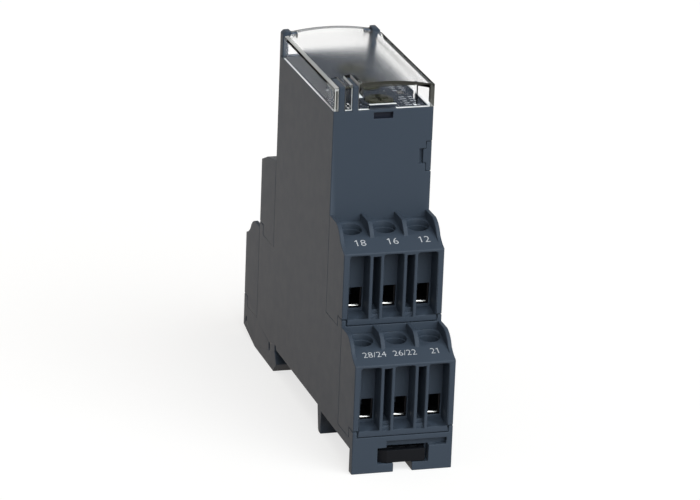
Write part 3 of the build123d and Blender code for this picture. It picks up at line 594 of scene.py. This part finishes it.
def clear_plastic(name, rough):
    """Clear polycarbonate that lets the lamps through to what is behind it, and the mix that does so."""
    material, tree, shader, place = shader_nodes(name)
    shader.inputs["Base Color"].default_value = clear_tint
    shader.inputs["Roughness"].default_value = rough
    shader.inputs["IOR"].default_value = clear_ior
    shader.inputs["Transmission Weight"].default_value = 1
    path = step(tree, "ShaderNodeLightPath")
    open_way = step(tree, "ShaderNodeBsdfTransparent")
    way = step(tree, "ShaderNodeMixShader",
               {0: path.outputs["Is Shadow Ray"], 1: shader.outputs[0], 2: open_way.outputs[0]})
    tree.links.new(way.outputs[0], tree.nodes["Material Output"].inputs["Surface"])
    return material, tree, shader, place, way


give("light_guide", clear_plastic("light_pipe", guide_rough)[0])

# The cover is one clear polycarbonate moulding that swings on the pins of the two rear posts. Its walls are
# polished, and the bottom rims of its walls and the side faces by the left lug are matt near white: painted
# highlights. Its top is finely grained, so that what lies under it shows softly.
frosted_from = (78.65 * MM, 78.75 * MM)
frost_rough = 0.2
thin_wall_ior = 1.15
straight_share = 0.92
top_from = 79.0 * MM
front_from = -21.65 * MM
left_margin = (-11.15 * MM, -10.3 * MM)
left_corner_painted_highlight = (-11.05 * MM, -10.85 * MM)
corners_from = 10.3 * MM
right_margin_from = 10.75 * MM
far_edge_from = 20.5 * MM
front_crown_from = 79.5 * MM
beyond = 1.0
corner_painted_shade = (0.14, 0.14, 0.13)
most_painted_light = 0.7
crown_step = math.radians(12)
facing = 0.9
rim_below = 77.2 * MM
lug_zone = (-10.24 * MM, -5.3 * MM)
lug_zone_end = -14.5 * MM
cover_clear, cover_nodes, cover_shader, cover_place, cover_way = clear_plastic("cover_clear", 0.0)


def within(tree, value, low, high):
    """1 where a value lies between two numbers, else 0."""
    return figured(tree, "MULTIPLY", figured(tree, "GREATER_THAN", value, low),
                   figured(tree, "LESS_THAN", value, high))


def laid_over(tree, mask, under, colour):
    """A colour laid where a mask is 1 over another, which is plain or comes from a node."""
    if isinstance(under, tuple):
        return blended(tree, mask, under, colour)
    mix = step(tree, "ShaderNodeMix", {"Factor": mask, 6: under}, {7: (*colour, 1)}, data_type="RGBA")
    return mix.outputs[2]


# Clear wall: mostly light that goes nearly straight on, and frosted at the top
cover_x, cover_y, cover_z = step(cover_nodes, "ShaderNodeSeparateXYZ", {0: cover_place}).outputs
frost = ranged(cover_nodes, cover_z, 0.0, frost_rough, *frosted_from)
cover_nodes.links.new(frost, cover_shader.inputs["Roughness"])
straight = step(cover_nodes, "ShaderNodeBsdfRefraction", {"Roughness": frost}, {"IOR": thin_wall_ior})
wall = step(cover_nodes, "ShaderNodeMixShader", {1: cover_shader.outputs[0], 2: straight.outputs[0]},
            {0: straight_share})

# Painted highlights and painted shade lines, laid as a matt layer over the clear wall: along the top's
# margins and far edge, the front's crown and the front's corners
top_side = within(cover_nodes, cover_z, top_from, beyond)
front_side = within(cover_nodes, cover_y, -beyond, front_from)
corners = figured(cover_nodes, "MULTIPLY", front_side,
                  figured(cover_nodes, "ADD", within(cover_nodes, cover_x, -beyond, -corners_from),
                          within(cover_nodes, cover_x, corners_from, beyond)))
# Dark zones are painted shade lines and light zones are painted highlights; the front corners get a painted
# grey shade.
painted_light_zones = [
    (top_side, cover_x, (-beyond, left_margin[0]), (0.008, 0.008, 0.008)),
    (top_side, cover_x, left_margin, (0.6, 0.61, 0.61)),
    (top_side, cover_x, (right_margin_from, beyond), (0.05, 0.05, 0.045)),
    (top_side, cover_y, (far_edge_from, beyond), (0.08, 0.09, 0.1)),
    (front_side, cover_x, left_corner_painted_highlight, (0.85, 0.86, 0.86)),
    (front_side, cover_z, (front_crown_from, beyond), (0.07, 0.07, 0.06)),
]
painted_light_colour = corner_painted_shade
painted_light_share = corners
for side, along, span, colour in painted_light_zones:
    zone = figured(cover_nodes, "MULTIPLY", within(cover_nodes, along, *span), side)
    painted_light_colour = laid_over(cover_nodes, zone, painted_light_colour, colour)
    painted_light_share = figured(cover_nodes, "MAXIMUM", painted_light_share, zone)
painted_light_layer = step(cover_nodes, "ShaderNodeBsdfDiffuse", {"Color": painted_light_colour})
painted_light_share = ranged(cover_nodes, painted_light_share, 0.0, most_painted_light, 0, 1)
hazed = step(cover_nodes, "ShaderNodeMixShader", {0: painted_light_share, 1: wall.outputs[0], 2: painted_light_layer.outputs[0]})
cover_nodes.links.new(hazed.outputs[0], cover_way.inputs[1])

work = bmesh.new()
work.from_mesh(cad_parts["clear_cover"].data)
bmesh.ops.remove_doubles(work, verts=work.verts, dist=merge_distance)
for face in work.faces:
    face.smooth = True
for line in work.edges:
    line.smooth = line.calc_face_angle(0) < crown_step
cover_mesh = bpy.data.meshes.new("cover")
work.to_mesh(cover_mesh)
work.free()
cover = add_piece("cover_moulding", cover_mesh, "cover", "clear_plastic", cover_clear, "clear_cover")
# The bottom rims and the side faces by the left lug take a matt near white plastic: painted highlights.
painted_highlight_edge = moulded_plastic("cover_painted_highlight_edge", (0.85, 0.87, 0.88), 0.25, 0.5)
second_finish(cover, painted_highlight_edge, lambda middle, side: (abs(side.z) > facing and middle.z < rim_below)
              or (abs(side.x) > facing and lug_zone[0] < middle.x < lug_zone[1] and middle.y < lug_zone_end))

# The rail clip is one black acetal moulding with its own spring arm. It slides in guides under the base, and
# its handle shows in the window of the front foot.
clip_edge = 0.12 * MM
clip_plastic = moulded_plastic("clip_moulding", (0.006, 0.007, 0.0095), 0.5, 0.1)
add_piece("rail_clip_moulding", rounded_mesh("rail_clip", clip_edge), "rail_clip", "black_plastic",
          clip_plastic, "rail_clip")

# The floor is plain and pale, and is no part of the relay. The camera and the clear parts see it as white,
# with the relay's soft shadow on it, and reflections show it a little warmer.
floor_size = 6
floor_shade = 0.34
floor_glow = 0.72
floor_white = (1, 1, 1)
floor_warm = (1, 0.88, 0.77)


def seen_directly(tree):
    """1 for what the camera, a reflection or a clear part sees, 0 for light that falls on the relay."""
    path = step(tree, "ShaderNodeLightPath").outputs
    direct = figured(tree, "MAXIMUM", path["Is Camera Ray"], path["Is Glossy Ray"])
    return figured(tree, "MAXIMUM", direct, path["Is Transmission Ray"])


bpy.ops.mesh.primitive_plane_add(size=floor_size)
floor = bpy.context.object
floor.name = "studio_floor"
floor_paint, floor_tree, floor_shader = shader_nodes("floor_paint")[:3]
floor_shader.inputs["Base Color"].default_value = (floor_shade, floor_shade, floor_shade, 1)
floor_shader.inputs["Roughness"].default_value = 1
floor_shader.inputs["Specular IOR Level"].default_value = 0
floor_path = step(floor_tree, "ShaderNodeLightPath").outputs
mirrored = figured(floor_tree, "SUBTRACT", floor_path["Is Glossy Ray"], floor_path["Is Transmission Ray"])
floor_tree.links.new(blended(floor_tree, mirrored, floor_white, floor_warm),
                     floor_shader.inputs["Emission Color"])
floor_tree.links.new(ranged(floor_tree, seen_directly(floor_tree), 0.0, floor_glow, 0, 1),
                     floor_shader.inputs["Emission Strength"])
floor.data.materials.append(floor_paint)

# A soft warm dome and one large lamp from the front right light the relay at a plain level. The background is
# white where it is seen, and darker overhead in reflections.
dome_colour = (1.0, 0.91, 0.81, 1)
dome_strength = 0.35
overhead_span = (0.1, 0.45)
overhead_dimming = 0.62
lamp_energy = 2.8
lamp_colour = (0.94, 0.985, 1.0)
lamp_spread = math.radians(70)
lamp_turn = math.radians(20)
lamp_height = math.radians(40)
world = bpy.data.worlds.new("studio")
bpy.context.scene.world = world
world.use_nodes = True
world_tree = world.node_tree
dome = world_tree.nodes["Background"]
dome.inputs["Color"].default_value = dome_colour
dome.inputs["Strength"].default_value = dome_strength
way_up = step(world_tree, "ShaderNodeSeparateXYZ",
              {0: step(world_tree, "ShaderNodeTexCoord").outputs["Generated"]}).outputs["Z"]
overhead = ranged(world_tree, way_up, 0.0, overhead_dimming, *overhead_span)
in_reflections = step(world_tree, "ShaderNodeLightPath").outputs["Is Glossy Ray"]
dimmed = figured(world_tree, "MULTIPLY", overhead, in_reflections)
white = step(world_tree, "ShaderNodeBackground", {"Strength": figured(world_tree, "SUBTRACT", 1, dimmed)},
             {"Color": (1, 1, 1, 1)})
backdrop = step(world_tree, "ShaderNodeMixShader",
                {0: seen_directly(world_tree), 1: dome.outputs[0], 2: white.outputs[0]})
world_tree.links.new(backdrop.outputs[0], world_tree.nodes["World Output"].inputs["Surface"])

lamp = bpy.data.lights.new("front_softbox", "SUN")
lamp.energy = lamp_energy
lamp.color = lamp_colour
lamp.angle = lamp_spread
lamp_object = bpy.data.objects.new("front_softbox", lamp)
bpy.context.scene.collection.objects.link(lamp_object)
towards = Vector((math.sin(lamp_turn) * math.cos(lamp_height), -math.cos(lamp_turn) * math.cos(lamp_height),
                  math.sin(lamp_height)))
lamp_object.rotation_mode = "QUATERNION"
lamp_object.rotation_quaternion = towards.to_track_quat("Z", "Y")

# The camera stands where the photograph was taken from, in front, to the left and a little above, with a long
# lens. Its place, roll and lens come from a fit to the relay's corners in the photograph.
camera_target = Vector((-0.0027, -0.0097, 0.0385))
camera_view = Vector((0.276112, 0.90359, -0.327548))
camera_distance = 0.95
camera_roll = math.radians(2.23)
camera_lens = 222.55
camera_sensor = 36
camera = bpy.data.cameras.new("camera")
camera.lens = camera_lens
camera.sensor_width = camera_sensor
camera_object = bpy.data.objects.new("camera", camera)
bpy.context.scene.collection.objects.link(camera_object)
camera_object.location = camera_target - camera_view * camera_distance
camera_object.rotation_mode = "QUATERNION"
camera_object.rotation_quaternion = (camera_view.to_track_quat("-Z", "Y")
                                     @ Quaternion((0, 0, 1), camera_roll))
bpy.context.scene.camera = camera_object
bpy.context.scene.view_settings.view_transform = "Standard"
